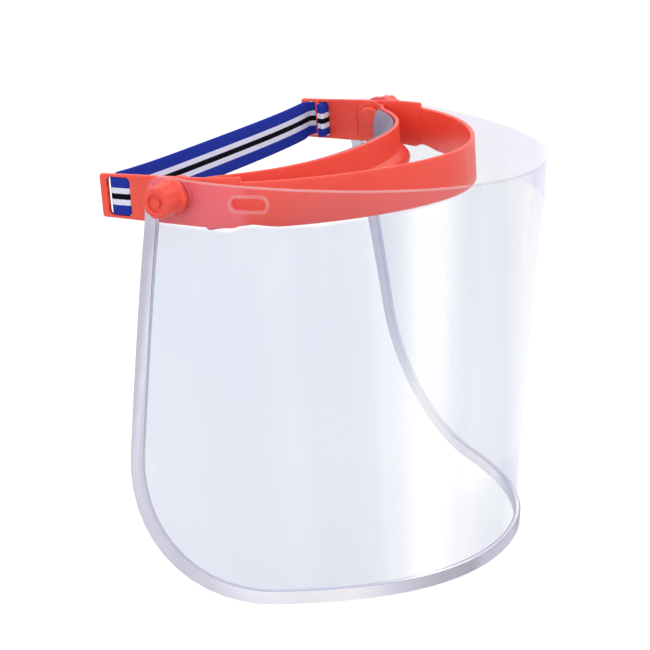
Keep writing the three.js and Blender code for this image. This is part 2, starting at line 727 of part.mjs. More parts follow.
function headStrap() {
  const hemEnd = strapOuter - HEM_LENGTH;
  const strapFront = rearSlotRear - GAP - STRAP_THICKNESS;
  const hemRear = barFront - GAP;
  const hemFront = frontSlotFront + GAP;
  const shape = new THREE.Shape();
  shape.moveTo(0, strapFront);
  shape.lineTo(strapSeat, strapFront);
  shape.lineTo(strapSeat, hemRear);
  shape.absarc(hemEnd + HEM_CORNER, hemRear - HEM_CORNER, HEM_CORNER, Math.PI / 2, Math.PI);
  shape.absarc(hemEnd + HEM_CORNER, hemFront + HEM_CORNER, HEM_CORNER, Math.PI, 1.5 * Math.PI);
  shape.absarc(strapOuter - HEM_CORNER, hemFront + HEM_CORNER, HEM_CORNER, -Math.PI / 2, 0);
  shape.absarc(strapSeat, strapFront, STRAP_THICKNESS, 0, Math.PI / 2);
  shape.lineTo(0, strapFront + STRAP_THICKNESS);
  const left = shape.getPoints(6);
  const right = left.slice(1, -1).reverse().map((p) => new THREE.Vector2(-p.x, p.y));
  const outline = new THREE.Shape([...left, ...right]);
  const strap = new THREE.ExtrudeGeometry(outline, { depth: STRAP_WIDTH, bevelEnabled: false });
  const half = STRAP_WIDTH / 2;
  const corners = roundedPanel(-plateOuter, plateOuter, hemFront, strapFront + STRAP_THICKNESS, -half, half,
    WINDOW_CORNER - GAP);
  return trim(strap.translate(0, 0, -half), corners).translate(0, 0, -BAND_DROP);
}

// Pivot hardware of the wearer's left side

function pivotBolt() {
  const shaft = turned([
    [boltHeadInner, 0],
    [boltHeadInner, BOLT_HEAD_RADIUS * 0.75],
    [boltHeadInner + BOLT_HEAD_HEIGHT / 2, BOLT_HEAD_RADIUS],
    [boltHeadOuter, BOLT_HEAD_RADIUS],
    [boltHeadOuter, BOLT_SHOULDER_RADIUS],
    [plateInner - GAP, BOLT_SHOULDER_RADIUS],
    [plateInner - GAP, BOLT_RADIUS],
    [boltEnd - BOLT_TIP, BOLT_RADIUS],
    [boltEnd, BOLT_RADIUS - BOLT_TIP],
    [boltEnd, 0],
  ]);
  const half = BOLT_NECK_SIDE / 2;
  return join(shaft, box(plateInner - 2 * GAP, plateOuter, -half, half, -half, half));
}

function frictionWasher() {
  return washer(frictionInner, frictionOuter, FRICTION_WASHER_RADIUS, boltHole);
}

function clampWasher() {
  return washer(clampInner, clampOuter, CLAMP_WASHER_RADIUS, boltHole);
}

function springWasher() {
  const ring = washer(0, SPRING_STRIP, SPRING_OUTER_RADIUS, boltHole);
  const position = ring.attributes.position;
  for (let i = 0; i < position.count; i += 1) {
    const angle = Math.atan2(position.getZ(i), position.getY(i));
    const wave = SPRING_WAVE * (1 + Math.sin(SPRING_WAVES * angle));
    position.setX(i, springBase + position.getX(i) + wave);
  }
  return ring;
}

// Rings of a shape whose radius changes round and along the pivot axis
function fluted(levels, radiusAt) {
  const sections = levels.map(([, scale, level]) => Array.from({ length: KNOB_SEGMENTS }, (_, i) => {
    const angle = 2 * Math.PI * i / KNOB_SEGMENTS;
    const radius = radiusAt(angle, level) - scale;
    return new THREE.Vector2(radius * Math.cos(angle), radius * Math.sin(angle));
  }));
  return loft(sections, (p, k) => new THREE.Vector3(levels[k][0], p.x, p.y));
}

function knob() {
  const skirtTop = knobBase + SKIRT_HEIGHT;
  const rise = KNOB_EDGE * (1 - Math.SQRT1_2);
  const levels = [
    [knobBase, 0.4, 0], [knobBase + 0.4, 0, 0], [skirtTop - 1, 0, 0], [skirtTop, 0, 0.6],
    [skirtTop + 0.8, 0, 1], [knobTop - KNOB_EDGE, 0, 1], [knobTop - rise, rise, 1], [knobTop, KNOB_EDGE, 1],
  ];
  const body = fluted(levels, (angle, level) => {
    const skirt = SKIRT_RADIUS - SKIRT_LOBE_DEPTH * (1 - Math.cos(SKIRT_LOBES * angle)) / 2;
    const grip = KNOB_RADIUS - KNOB_FLUTE_DEPTH * (1 - Math.cos(KNOB_FLUTES * angle)) / 2;
    return THREE.MathUtils.lerp(skirt, grip, level);
  });
  const recess = disc(knobBase - 1, springSeat, SPRING_OUTER_RADIUS + GAP);
  const bore = disc(springSeat - 1, insertTop + GAP, INSERT_RADIUS + GAP);
  const ring = washer(knobTop - FACE_RING_DEPTH, knobTop + 1, FACE_RING_RADIUS, FACE_BOSS_RADIUS);
  return cut(body, recess, bore, ring);
}

function knobInsert() {
  const steps = 2 * INSERT_KNURLS;
  const section = Array.from({ length: steps }, (_, i) => {
    const angle = 2 * Math.PI * i / steps;
    const radius = INSERT_RADIUS - (i % 2) * INSERT_KNURL_DEPTH;
    return new THREE.Vector2(radius * Math.cos(angle), radius * Math.sin(angle));
  });
  const ends = [insertBase, insertTop];
  const body = loft([section, section], (p, k) => new THREE.Vector3(ends[k], p.x, p.y));
  return cut(body, disc(insertBase - 1, insertTop + 1, boltHole));
}

// Materials and assembly

function material(color, roughness, metalness = 0) {
  return () => new THREE.MeshStandardMaterial({ color, roughness, metalness });
}

const orange = material(0xea553f, 0.45);
const foam = material(0x8f949e, 0.95);
const clear = material(0xe3e8f4, 0.08);
const aluminium = material(0xcfcbd8, 0.35, 1);
const elastic = material(0x2a3896, 0.85);
const brass = material(0xb8963f, 0.35, 1);

const shield = new THREE.Group();

function add(name, geometry, makeMaterial) {
  const mesh = new THREE.Mesh(geometry, makeMaterial());
  mesh.name = name;
  shield.add(mesh);
}

add('outer_band', outerBand(), orange);
add('brow_band', browBand(), orange);
add('brow_pad', browPad(), foam);
add('visor_sheet', visorSheet(), clear);
add('edge_binding', edgeBinding(), aluminium);
add('head_strap', headStrap(), elastic);

const hardware = [
  ['pivot_bolt', pivotBolt(), orange],
  ['friction_washer', frictionWasher(), orange],
  ['clamp_washer', clampWasher(), orange],
  ['spring_washer', springWasher(), aluminium],
  ['knob', knob(), orange],
  ['knob_insert', knobInsert(), brass],
];

for (const [name, geometry, makeMaterial] of hardware) {
  add(`${name}_left`, geometry, makeMaterial);
  add(`${name}_right`, mirrored(geometry), makeMaterial);
}

export default shield;
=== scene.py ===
"""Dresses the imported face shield: mouldings, clear visor, edge binding, foam pad, woven strap and pivots."""

import math

import bmesh
import bpy
from bpy.props import FloatProperty, FloatVectorProperty, PointerProperty
from mathutils import Matrix, Vector


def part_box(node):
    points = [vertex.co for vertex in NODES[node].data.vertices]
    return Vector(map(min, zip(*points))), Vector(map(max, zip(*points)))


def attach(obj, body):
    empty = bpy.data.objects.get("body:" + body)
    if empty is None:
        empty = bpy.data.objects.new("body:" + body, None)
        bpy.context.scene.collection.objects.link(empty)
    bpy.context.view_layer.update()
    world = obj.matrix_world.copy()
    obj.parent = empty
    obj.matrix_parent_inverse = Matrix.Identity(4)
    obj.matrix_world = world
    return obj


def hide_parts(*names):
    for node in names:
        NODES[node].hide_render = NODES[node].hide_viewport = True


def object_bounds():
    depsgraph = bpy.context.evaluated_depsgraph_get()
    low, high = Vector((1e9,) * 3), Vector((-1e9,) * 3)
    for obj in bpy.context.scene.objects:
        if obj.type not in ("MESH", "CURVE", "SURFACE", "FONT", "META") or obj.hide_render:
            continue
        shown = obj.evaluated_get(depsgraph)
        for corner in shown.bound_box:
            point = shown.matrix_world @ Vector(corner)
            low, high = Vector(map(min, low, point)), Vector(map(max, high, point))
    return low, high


bl_info = {
    "name": "Face shield",
    "version": (1, 0, 0),
    "blender": (4, 5, 0),
    "location": "View3D > Sidebar > Face shield",
    "description": "Builds the visible pieces and materials of a flip-up face shield round its packed frame",
    "category": "Object",
}

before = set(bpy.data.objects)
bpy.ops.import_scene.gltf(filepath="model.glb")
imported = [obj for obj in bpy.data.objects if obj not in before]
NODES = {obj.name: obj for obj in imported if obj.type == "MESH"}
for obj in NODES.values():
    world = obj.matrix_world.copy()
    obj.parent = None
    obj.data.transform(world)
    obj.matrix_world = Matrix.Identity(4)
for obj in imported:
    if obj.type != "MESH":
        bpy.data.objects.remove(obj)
CAD_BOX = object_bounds()
SIDES = ("left", "right")
MM = 0.001


# Sizes and colours that a user would change

class ShieldSizes(bpy.types.PropertyGroup):
    """Sizes of the pieces that are made here"""

    moulding_round: FloatProperty(
        name="Moulding edge radius", description="Rounding of the moulded bands' edges",
        default=0.28 * MM, unit="LENGTH")
    hardware_round: FloatProperty(
        name="Hardware edge radius", description="Rounding of the knobs' and washers' edges",
        default=0.18 * MM, unit="LENGTH")
    binding_round: FloatProperty(
        name="Binding edge radius", description="Rounding of the folded metal binding",
        default=0.16 * MM, unit="LENGTH")
    sheet_round: FloatProperty(
        name="Sheet edge radius", description="Rounding of the visor sheet's polished edge",
        default=0.12 * MM, unit="LENGTH")
    strap_thickness: FloatProperty(
        name="Strap thickness", description="Thickness of the elastic webbing",
        default=1.4 * MM, unit="LENGTH")
    strap_width: FloatProperty(
        name="Strap width", description="Width of the webbing where it runs free, wider than its windows",
        default=20.9 * MM, unit="LENGTH")
    strap_sag: FloatProperty(
        name="Strap sag", description="How far the strap hangs at its middle",
        default=1.7 * MM, unit="LENGTH")
    eyelet_width: FloatProperty(
        name="Slot rim width", description="Width of the raised rim round each oblong slot of the visor",
        default=1.5 * MM, unit="LENGTH")
    eyelet_proud: FloatProperty(
        name="Slot rim height", description="How far that rim stands above the sheet",
        default=0.3 * MM, unit="LENGTH")
    foam_swell: FloatProperty(
        name="Foam swell", description="How far the foam swells up and down towards the edges of its band",
        default=0.8 * MM, unit="LENGTH")
    foam_voxel: FloatProperty(
        name="Foam voxel", description="Size of the voxels that the foam pad is remeshed with",
        default=0.9 * MM, unit="LENGTH")
    smooth_angle: FloatProperty(
        name="Smoothing angle", description="Edges sharper than this stay crisp",
        default=math.radians(34), subtype="ANGLE")


class ShieldColours(bpy.types.PropertyGroup):
    """Colours of the finishes"""

    moulding: FloatVectorProperty(
        name="Moulding", description="Orange-red of the moulded plastic",
        default=(0.84, 0.078, 0.048), subtype="COLOR", size=3)
    moulding_deep: FloatVectorProperty(
        name="Moulding, deep", description="Darker cast of the same plastic",
        default=(0.78, 0.058, 0.034), subtype="COLOR", size=3)
    visor_tint: FloatVectorProperty(
        name="Visor tint", description="Blue cast of the clear sheet on its flanks and front",
        default=(0.20, 0.29, 0.54), subtype="COLOR", size=3)
    # A painted reflection: the white gleam painted down the sheet's bends
    visor_painted_gleam: FloatVectorProperty(
        name="Visor gleam", description="Soft white gleam down the sheet's bends",
        default=(0.95, 0.96, 0.98), subtype="COLOR", size=3)
    visor_top: FloatVectorProperty(
        name="Visor top", description="Cast of the sheet's upper strip over the temple plates",
        default=(1.0, 0.42, 0.60), subtype="COLOR", size=3)
    visor_front: FloatVectorProperty(
        name="Visor front", description="Cast of the sheet's upper strip round its front",
        default=(0.62, 0.36, 0.44), subtype="COLOR", size=3)
    visor_inside: FloatVectorProperty(
        name="Visor inside", description="Cast of that strip on the far side, seen over the bands",
        default=(0.33, 0.38, 0.86), subtype="COLOR", size=3)
    visor_rim: FloatVectorProperty(
        name="Visor rim", description="Cut upper edge of the sheet where it crosses the bands",
        default=(0.86, 0.50, 0.52), subtype="COLOR", size=3)
    visor_edge: FloatVectorProperty(
        name="Visor edge", description="The same cut edge where nothing lies behind it",
        default=(0.34, 0.34, 0.46), subtype="COLOR", size=3)
    slot_rim: FloatVectorProperty(
        name="Slot rim", description="Frosted raised rims round the visor's slots",
        default=(0.95, 0.62, 0.66), subtype="COLOR", size=3)
    metal: FloatVectorProperty(
        name="Binding metal", description="Satin metal of the edge binding",
        default=(0.53, 0.515, 0.605), subtype="COLOR", size=3)
    # The lining is pale so that the shaded gap in the binding's channel looks lighter, and it glows a little
    # as painted light
    lining: FloatVectorProperty(
        name="Binding lining", description="Dull inside of the binding's channel",
        default=(0.95, 0.90, 0.93), subtype="COLOR", size=3)
    foam: FloatVectorProperty(
        name="Foam", description="Grey of the brow pad",
        default=(0.31, 0.26, 0.36), subtype="COLOR", size=3)
    strap_blue: FloatVectorProperty(
        name="Strap blue", description="Blue yarn of the strap",
        default=(0.022, 0.040, 0.36), subtype="COLOR", size=3)
    strap_white: FloatVectorProperty(
        name="Strap white", description="White yarn of the strap",
        default=(0.82, 0.80, 0.98), subtype="COLOR", size=3)
    strap_black: FloatVectorProperty(
        name="Strap black", description="Black yarn of the strap",
        default=(0.006, 0.005, 0.010), subtype="COLOR", size=3)
    brass: FloatVectorProperty(
        name="Brass", description="Brass of the threaded knob inserts",
        default=(0.62, 0.45, 0.17), subtype="COLOR", size=3)
    steel: FloatVectorProperty(
        name="Spring steel", description="Steel of the wave washers",
        default=(0.52, 0.53, 0.56), subtype="COLOR", size=3)
    backdrop: FloatVectorProperty(
        name="Backdrop", description="Floor and background",
        default=(1.0, 1.0, 1.0), subtype="COLOR", size=3)


class ShieldView(bpy.types.PropertyGroup):
    """The camera that stands where the photograph was taken"""

    place: FloatVectorProperty(
        name="Camera place", description="Where the camera stands",
        default=(-0.8173, -0.5223, 0.2055), subtype="TRANSLATION", size=3)
    azimuth: FloatProperty(
        name="Azimuth", description="Direction that the camera looks from, round the vertical",
        default=math.radians(-58.33), subtype="ANGLE")
    elevation: FloatProperty(
        name="Elevation", description="How steeply the camera looks down",
        default=math.radians(17.08), subtype="ANGLE")
    roll: FloatProperty(
        name="Roll", description="Turn of the picture about the line of sight",
        default=math.radians(-3.92), subtype="ANGLE")
    lens: FloatProperty(
        name="Lens", description="Focal length on a 36 mm wide sensor, in millimetres",
        default=107.2)
    shift: FloatVectorProperty(
        name="Shift", description="Shift of the picture's centre, as a share of its width",
        default=(-0.0019, -0.0041), size=2)


def sizes():
    return bpy.context.scene.shield_sizes


def colours():
    return bpy.context.scene.shield_colours


# Mesh helpers

# Vertices of a CAD mesh this close are one, and faces this flat to each other are one face
SEW_DISTANCE = 0.002 * MM
FLAT_ANGLE = math.radians(0.4)
ROUNDING_STEPS = 2


def deselect_all():
    if bpy.context.object and bpy.context.object.mode != "OBJECT":
        bpy.ops.object.mode_set(mode="OBJECT")
    bpy.ops.object.select_all(action="DESELECT")


def activate(piece):
    deselect_all()
    piece.select_set(True)
    bpy.context.view_layer.objects.active = piece


def new_piece(name, mesh):
    piece = bpy.data.objects.new(name, mesh)
    bpy.context.scene.collection.objects.link(piece)
    return piece


def apply_modifiers(piece):
    activate(piece)
    for modifier in list(piece.modifiers):
        bpy.ops.object.modifier_apply(modifier=modifier.name)


def merged_copy(node, name):
    """A copy of a CAD node's mesh with its loose triangles sewn together and its flat faces joined up."""
    piece = new_piece(name, NODES[node].data.copy())
    piece.data.materials.clear()
    activate(piece)
    bpy.ops.object.mode_set(mode="EDIT")
    bpy.ops.mesh.select_all(action="SELECT")
    bpy.ops.mesh.remove_doubles(threshold=SEW_DISTANCE)
    bpy.ops.mesh.dissolve_limited(angle_limit=FLAT_ANGLE)
    bpy.ops.object.mode_set(mode="OBJECT")
    return piece


def round_edges(piece, width, angle=None):
    bevel = piece.modifiers.new("round edges", "BEVEL")
    bevel.width = width
    bevel.segments = ROUNDING_STEPS
    bevel.limit_method = "ANGLE"
    bevel.angle_limit = sizes().smooth_angle if angle is None else angle
    bevel.harden_normals = False
    apply_modifiers(piece)


def smooth(piece, angle=None):
    activate(piece)
    bpy.ops.object.shade_smooth_by_angle(angle=sizes().smooth_angle if angle is None else angle)


def finish_piece(piece, node, body, material):
    """The piece stands for its CAD node, moves with the body and takes the finish."""
    piece.data.materials.clear()
    piece.data.materials.append(material)
    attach(piece, body)
    if node:
        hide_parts(node)


# Material helpers

BLACK = (0, 0, 0, 1)
NOISE_LOW, NOISE_HIGH = 0.3, 0.7


def paint(name):
    """One of the user's colours, as a shader takes it."""
    return (*getattr(colours(), name), 1)


def new_material(name):
    """A material with its Principled shader; returns material, node tree and shader."""
    material = bpy.data.materials.new(name)
    material.use_nodes = True
    tree = material.node_tree
    return material, tree, tree.nodes["Principled BSDF"]


def kept(name, make):
    """The material of that name, made at its first use."""
    return bpy.data.materials.get(name) or make(name)


def feed(tree, node, inputs):
    """Links each input, named or numbered, to a socket, or sets it to a value."""
    for key, value in inputs.items():
        if isinstance(value, bpy.types.NodeSocket):
            tree.links.new(value, node.inputs[key])
        else:
            node.inputs[key].default_value = value


def add_node(tree, kind, inputs=None, **settings):
    """A node with its settings made and its inputs fed."""
    node = tree.nodes.new(kind)
    for key, value in settings.items():
        setattr(node, key, value)
    feed(tree, node, inputs or {})
    return node


def calculated(tree, operation, *values, **settings):
    """A Math node's result on sockets or numbers."""
    return add_node(tree, "ShaderNodeMath", dict(enumerate(values)), operation=operation,
                    **settings).outputs["Value"]


def ranged(tree, value, low, high, to_low=0.0, to_high=1.0, ease="LINEAR"):
    """A value carried from one range to another, and held at the ends."""
    return add_node(tree, "ShaderNodeMapRange",
                    {"Value": value, "From Min": low, "From Max": high, "To Min": to_low, "To Max": to_high},
                    interpolation_type=ease).outputs["Result"]


def mixed(tree, kind, factor, first, second, blend="MIX"):
    """A Mix node's result on sockets, numbers or colours."""
    return add_node(tree, "ShaderNodeMix", {"Factor": factor, "A": first, "B": second},
                    data_type=kind, blend_type=blend).outputs["Result"]


def tinted(tree, colour, shade):
    """The colour multiplied by the shade."""
    return mixed(tree, "RGBA", 1.0, colour, shade, blend="MULTIPLY")


def noise(tree, where, scale, detail, roughness=0.5):
    """Cloudy noise, mostly between NOISE_LOW and NOISE_HIGH; scale is how many clouds lie in a metre."""
    values = {"Vector": where, "Scale": scale, "Detail": detail, "Roughness": roughness}
    return add_node(tree, "ShaderNodeTexNoise", values).outputs["Fac"]


def bumped(tree, height, depth, strength):
    """The surface's normal over a relief, whose depth is in metres."""
    return add_node(tree, "ShaderNodeBump",
                    {"Height": height, "Distance": depth, "Strength": strength}).outputs["Normal"]


def value_ramp(tree, source, knots):
    """A ramp through the knots, each (place, value), with a number or a colour as its value."""
    node = add_node(tree, "ShaderNodeValToRGB", {"Fac": source})
    ramp = node.color_ramp
    for place, value in knots:
        element = ramp.elements.new(place)
        element.color = (*value, 1) if isinstance(value, tuple) else (value, value, value, 1)
    ramp.elements.remove(ramp.elements[0])
    ramp.elements.remove(ramp.elements[-1])
    return node.outputs["Color"]


def object_coordinates(tree):
    return add_node(tree, "ShaderNodeTexCoord").outputs["Object"]


def separated(tree, where):
    return add_node(tree, "ShaderNodeSeparateXYZ", {"Vector": where}).outputs


FINISH_SOCKETS = {"Colour": "NodeSocketColor", "Roughness": "NodeSocketFloat", "Normal": "NodeSocketVector"}


def finish_group(name, defaults, build):
    """The node group of that name, made at its first use, with coordinates and the defaults as its inputs.

    build makes its nodes from those inputs and returns its colour, roughness and normal."""
    if name in bpy.data.node_groups:
        return bpy.data.node_groups[name]
    group = bpy.data.node_groups.new(name, "ShaderNodeTree")
    new_socket = group.interface.new_socket
    new_socket(name="Vector", in_out="INPUT", socket_type="NodeSocketVector")
    for key, value in defaults.items():
        kind = "NodeSocketColor" if isinstance(value, tuple) else "NodeSocketFloat"
        new_socket(name=key, in_out="INPUT", socket_type=kind).default_value = value
    for key, kind in FINISH_SOCKETS.items():
        new_socket(name=key, in_out="OUTPUT", socket_type=kind)
    results = build(group, group.nodes.new("NodeGroupInput").outputs)
    feed(group, group.nodes.new("NodeGroupOutput"), dict(zip(FINISH_SOCKETS, results)))
    return group


def group_finish(tree, group, inputs):
    """Places the group in a material; returns what it gives the shader."""
    given = add_node(tree, "ShaderNodeGroup", inputs, node_tree=group).outputs
    return {"Base Color": given["Colour"], "Roughness": given["Roughness"], "Normal": given["Normal"]}


def moulded_grain_group():
    """Moulded plastic: a slow cast in the colour, fine grain in the surface and uneven gloss."""
    def build(group, given):
        where = given["Vector"]
        cast = noise(group, where, given["Cast scale"], detail=3.0, roughness=0.55)
        flow = noise(group, where, given["Gloss scale"], detail=2.0)
        grain = noise(group, where, given["Grain scale"], detail=4.0, roughness=0.6)
        gloss = given["Roughness low"], given["Roughness high"]
        return (mixed(group, "RGBA", cast, given["Colour"], given["Deep colour"]),
                ranged(group, flow, NOISE_LOW, NOISE_HIGH, *gloss),
                bumped(group, grain, given["Grain depth"], strength=1.0))
    return finish_group("moulded grain", {
        "Colour": (0.8, 0.1, 0.05, 1), "Deep colour": (0.7, 0.06, 0.03, 1), "Cast scale": 22.0,
        "Gloss scale": 90.0, "Grain scale": 1500.0, "Grain depth": 0.02 * MM, "Roughness low": 0.30,
        "Roughness high": 0.46}, build)


# How much the metal's clouds darken and brighten it
CLOUD_SHADE = (0.96, 1.02)


def rolled_metal_group():
    """Rolled or turned metal: stretched streaks in the gloss, a slight waviness and a cloudy shade."""
    def build(group, given):
        where = given["Vector"]
        streaks = noise(group, where, given["Streak scale"], detail=5.0, roughness=0.7)
        clouds = noise(group, where, given["Cloud scale"], detail=3.0)
        gloss = given["Roughness low"], given["Roughness high"]
        return (tinted(group, given["Colour"], ranged(group, clouds, NOISE_LOW, NOISE_HIGH, *CLOUD_SHADE)),
                ranged(group, streaks, NOISE_LOW, NOISE_HIGH, *gloss),
                bumped(group, streaks, given["Depth"], strength=0.7))
    return finish_group("rolled metal", {
        "Colour": (0.7, 0.7, 0.7, 1), "Streak scale": 700.0, "Cloud scale": 60.0, "Roughness low": 0.22,
        "Roughness high": 0.42, "Depth": 0.02 * MM}, build)


# Materials

def moulding_material():
    def make(name):
        material, tree, shader = new_material(name)
        feed(tree, shader, group_finish(tree, moulded_grain_group(), {
            "Vector": object_coordinates(tree), "Colour": paint("moulding"),
            "Deep colour": paint("moulding_deep")}))
        feed(tree, shader, {"Subsurface Weight": 0.12, "Subsurface Radius": (1.0, 0.25, 0.12),
                            "Subsurface Scale": 2.5 * MM, "IOR": 1.49})
        return material
    return kept("orange moulding", make)


# The way round the visor is measured from the middle of its front (0) to the rear edge of a flank (near 0.9).
# It is |x| / (|x| - y + this reach)
ROUND_REACH = 40 * MM
# Along it, the binding's painted reflection: how bright its satin metal is painted, brighter between 0.33 and
# 0.68 and warmer in the middle of that, darker from 0.15 to 0.24, and how much of its blue cast it keeps
BINDING_PAINTED_REFLECTION = ((0.0, 1.0, 1.0), (0.10, 0.98, 1.0), (0.15, 0.72, 1.0), (0.24, 0.82, 1.0), (0.29, 0.96, 1.0),
                 (0.33, 1.12, 1.0), (0.37, 1.32, 0.96), (0.42, 1.55, 0.90), (0.50, 1.46, 0.90),
                 (0.60, 1.46, 0.94), (0.68, 1.1, 1.0), (0.74, 1.0, 1.0))
# A ramp holds at most 1, so it carries half of the brightness
SHADE_SCALE = 2.0
# Painted light: the share of its own colour that the channel's dull inside glows with, standing in for the
# light that finds its way in there
LINING_PAINTED_LIGHT = 0.2


def round_the_sheet(tree, place):
    """How far round the visor a point lies, for both of its sides."""
    sideways = calculated(tree, "ABSOLUTE", place["X"])
    reach = calculated(tree, "ADD", calculated(tree, "SUBTRACT", sideways, place["Y"]), ROUND_REACH)
    return calculated(tree, "DIVIDE", sideways, reach)


def metal_material(name, colour, low, high, streak=700.0, shade=None, lining=None):
    """Satin or turned metal in a named colour, with its lowest and highest roughness.

    With shade, its brightness is painted along the way round the visor, as a painted reflection. A lining is
    the named dull colour of the faces that the mesh attribute "lined" marks; they also glow a little with it,
    as painted light."""
    def make(made_name):
        material, tree, shader = new_material(made_name)
        where = object_coordinates(tree)
        base = paint(colour)
        if shade:
            # The painted reflection: brightness and blue cast painted along the way round the visor
            knots = tuple((place, tuple(value * share / SHADE_SCALE for share in (1, 1, blue)))
                          for place, value, blue in shade)
            ramp = value_ramp(tree, round_the_sheet(tree, separated(tree, where)), knots)
            painted_reflection = add_node(tree, "ShaderNodeVectorMath", {"Vector": ramp, "Scale": SHADE_SCALE},
                              operation="SCALE")
            base = tinted(tree, base, painted_reflection.outputs["Vector"])
        finish = group_finish(tree, rolled_metal_group(), {
            "Vector": where, "Colour": base, "Streak scale": streak, "Roughness low": low,
            "Roughness high": high})
        finish["Metallic"] = 1.0
        if lining:
            lined = add_node(tree, "ShaderNodeAttribute", attribute_name="lined").outputs["Fac"]
            # Painted light: the lined faces glow a little with their own colour
            painted_light = tuple(value * LINING_PAINTED_LIGHT for value in paint(lining)[:3])
            finish["Metallic"] = mixed(tree, "FLOAT", lined, 1.0, 0.0)
            finish["Base Color"] = mixed(tree, "RGBA", lined, finish["Base Color"], paint(lining))
            finish["Emission Color"] = mixed(tree, "RGBA", lined, BLACK, (*painted_light, 1))
            finish["Emission Strength"] = 1.0
        feed(tree, shader, finish)
        return material
    return kept(name, make)


# Veils of the clear sheet, denser under its painted reflection, a white gleam painted down its bends that also
# glows a little as painted light: place on the way round it, alpha or share
BODY_VEIL = ((0.0, 0.03), (0.17, 0.03), (0.22, 0.15), (0.26, 0.36), (0.30, 0.36), (0.35, 0.20), (0.44, 0.20),
             (0.60, 0.21))
BODY_PAINTED_GLEAM = ((0.17, 0.0), (0.24, 1.0), (0.29, 1.0), (0.37, 0.0))
PAINTED_GLEAM_GLOW = 0.12
# Just above the hem the front has a veil too; it fades out between these heights
HEM_VEIL = ((0.0, 0.14), (0.10, 0.11), (0.17, 0.07)) + BODY_VEIL[2:]
HEM_REACH = (-165 * MM, -145 * MM)
# The veil thins towards the hem (height, factor) and on the far side, whose inside is seen, so that the near
# flank's denser veil is partly a painted reflection of a broad soft box
LOW_VEIL = (-150 * MM, 0.87)
HIGH_VEIL = (-70 * MM, 1.06)
FAR_SIDE_VEIL = 0.6
FAR_SIDE_REACH = 60 * MM
# The two sides of the upper strip meet in a blend this far each way from the middle of the front
MIDDLE_BLEND = 5 * MM
# The upper strip: its veil on both sides, and where its flank begins
TOP_VEIL = ((0.0, 0.13), (0.25, 0.12), (0.42, 0.08), (0.50, 0.04), (0.545, 0.04), (0.56, 0.12))
FAR_TOP_VEIL = ((0.14, 0.05), (0.24, 0.14))
TOP_FLANK = ((0.50, 0.0), (0.56, 1.0))
# Heights are measured square to the sheet's upper edge, which falls towards the front
TOP_EDGE_FALL = 0.0705
# The strip's lower edge follows the bands on the near side, in millimetres, and is level on the far side
TOP_FOOT = ((0.0, 10.0), (0.19, 9.0), (0.23, 4.0), (0.30, -0.5), (0.34, -3.0), (0.39, -5.5), (0.43, -8.0),
            (0.50, -9.5), (0.55, -10.0), (0.585, -13.5), (0.70, -14.0))
TOP_FOOT_RANGE = (-16.0, 10.0)
FAR_TOP_FOOT = -16 * MM
TOP_BLEND = (-1.5 * MM, 0.75 * MM)
# The cut upper edge: its height, where the bands lie behind it, and its veil away from them and over them
RIM_STRIP = (7.5 * MM, 8.0 * MM)
RIM_OVER_BANDS = ((0.17, 0.0), (0.21, 1.0))
RIM_VEIL = (0.13, 0.4)
# Faint smears run down the sheet and also paint reflection streaks there: how fine they are each way, the
# noise that they take, and their factors
SMEAR_AND_STREAK_SCALE = (30.0, 30.0, 1.2)
SMEAR_AND_STREAK_NOISE = (0.32, 0.68)
SMEAR_AND_STREAK = (0.92, 1.08)
# The sheet looks denser where it is seen edge on
EDGE_ON_BLEND = 0.2
EDGE_ON_VEIL = 0.12
# Roughness of the sheet's polish, and of the frosted rims round its slots
POLISH = (0.03, 0.09)
FROST = (0.12, 0.3)


def visor_zones(tree, where, place, share):
    """Masks of the sheet's far side, of its upper strip and of its cut upper edge."""
    level = add_node(tree, "ShaderNodeVectorMath", {0: where, 1: (0, -TOP_EDGE_FALL, 1)},
                     operation="DOT_PRODUCT").outputs["Value"]
    far = ranged(tree, place["X"], -MIDDLE_BLEND, MIDDLE_BLEND, ease="SMOOTHSTEP")
    lowest, highest = TOP_FOOT_RANGE
    knots = tuple((spot, (height - lowest) / (highest - lowest)) for spot, height in TOP_FOOT)
    foot = ranged(tree, value_ramp(tree, share, knots), 0.0, 1.0, lowest * MM, highest * MM)
    above = calculated(tree, "SUBTRACT", level, mixed(tree, "FLOAT", far, foot, FAR_TOP_FOOT))
    top = ranged(tree, above, *TOP_BLEND, ease="SMOOTHSTEP")
    rim = ranged(tree, level, *RIM_STRIP, ease="SMOOTHSTEP")
    return far, top, rim


